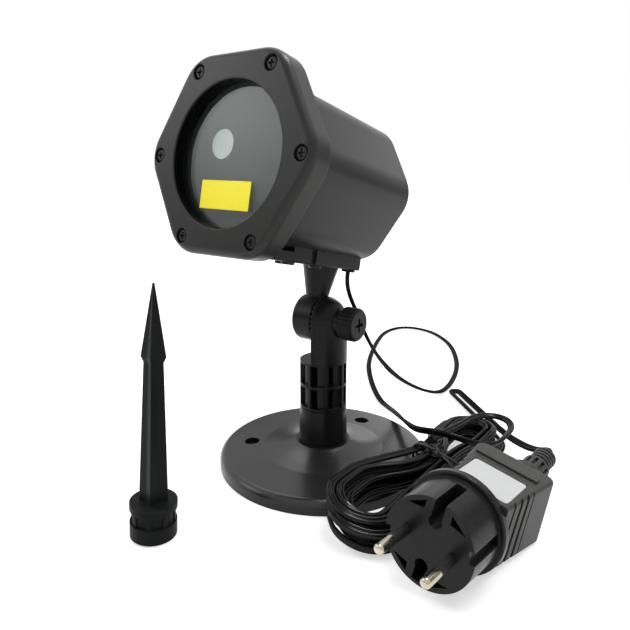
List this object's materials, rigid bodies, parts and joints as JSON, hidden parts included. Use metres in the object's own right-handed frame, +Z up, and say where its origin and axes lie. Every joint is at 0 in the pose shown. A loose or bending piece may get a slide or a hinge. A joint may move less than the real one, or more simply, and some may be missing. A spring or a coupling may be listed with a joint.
{
  "type": "laser show projector",
  "caption": "Hexagonal laser show projector on a tilting stand with a round foot, a ground stake, a hank of cord and a plug-in adapter.",
  "frame": {"origin": "on the floor under the centre of the round foot", "axes": "+Z up along the post, window facing -Y, clamp knob on +X"},
  "size_m": [0.2156, 0.3717, 0.1979],
  "materials": {
    "foot_plastic": "satin",
    "post_plastic": "satin",
    "knob_plastic": "satin",
    "screw_steel": "black oxide",
    "housing_paint": "satin",
    "plate_paint": "satin",
    "rubber": "matte",
    "clear": "clear",
    "grey_plate": "satin",
    "lens": "frosted",
    "alloy": "milled",
    "module_brass": "turned",
    "mirror_glass": "polished",
    "grating_film": "clear",
    "shaft_steel": "bright",
    "board": "solder mask",
    "cord_jacket": "gloss",
    "tie_jacket": "matte",
    "adapter_plastic": "textured",
    "plug_plastic": "satin",
    "nickel": "nickel plated",
    "sleeve": "satin",
    "stake_plastic": "matte"
  },
  "bodies": {
    "stand": {"stand_post": "post_plastic", "knob_washer": "screw_steel", "lamp_cord": "cord_jacket", "cord_hank": "cord_jacket", "twist_tie": "tie_jacket", "adapter_lead": "cord_jacket", "adapter_boot": "adapter_plastic", "adapter_case": "adapter_plastic", "adapter_cover": "adapter_plastic", "adapter_board": "board", "plug_body": "plug_plastic", "plug_pins": "nickel", "pin_sleeves": "sleeve"},
    "base": {"base_foot": "foot_plastic"},
    "head": {"neck_bracket": "post_plastic", "clamp_nut": "screw_steel", "mount_plate": "plate_paint", "plate_screws": "screw_steel", "cable_gland": "rubber", "housing_shell": "housing_paint", "front_bezel": "housing_paint", "bezel_screws": "screw_steel", "window_glass": "clear", "window_gasket": "rubber", "aperture_plate": "grey_plate", "aperture_lens": "lens", "optics_bench": "alloy", "laser_module_green": "module_brass", "laser_module_red": "module_brass", "dichroic_filter": "mirror_glass", "fold_mirror": "mirror_glass", "grating_motor": "shaft_steel", "motor_bracket": "alloy", "driver_board": "board"},
    "clamp_knob": {"knob_grip": "knob_plastic", "clamp_screw": "screw_steel"},
    "grating": {"grating_wheel": "grating_film", "wheel_shaft": "shaft_steel"},
    "stake": {"ground_stake": "stake_plastic"}
  },
  "joints": [
    {"name": "head_tilt", "type": "hinge", "parent": "stand", "child": "head", "pos_m": [0, 0, 0.07804], "axis": [-1, 0, 0], "range_deg": [-30, 78], "deforming": ["lamp_cord"]},
    {"name": "foot_turn", "type": "hinge", "parent": "stand", "child": "base", "pos_m": [0, 0, 0], "axis": [0, 0, 1], "continuous": true},
    {"name": "knob_turn", "type": "hinge", "parent": "stand", "child": "clamp_knob", "pos_m": [0, 0, 0.07804], "axis": [1, 0, 0], "continuous": true},
    {"name": "grating_spin", "type": "hinge", "parent": "head", "child": "grating", "pos_m": [-0.00934, -0.04632, 0.15613], "axis": [0, 0.978, -0.2086], "continuous": true},
    {"name": "stake_lift", "type": "slide", "parent": "stand", "child": "stake", "axis": [0, 0, 1], "range_m": [0, 0.12]}
  ]
}
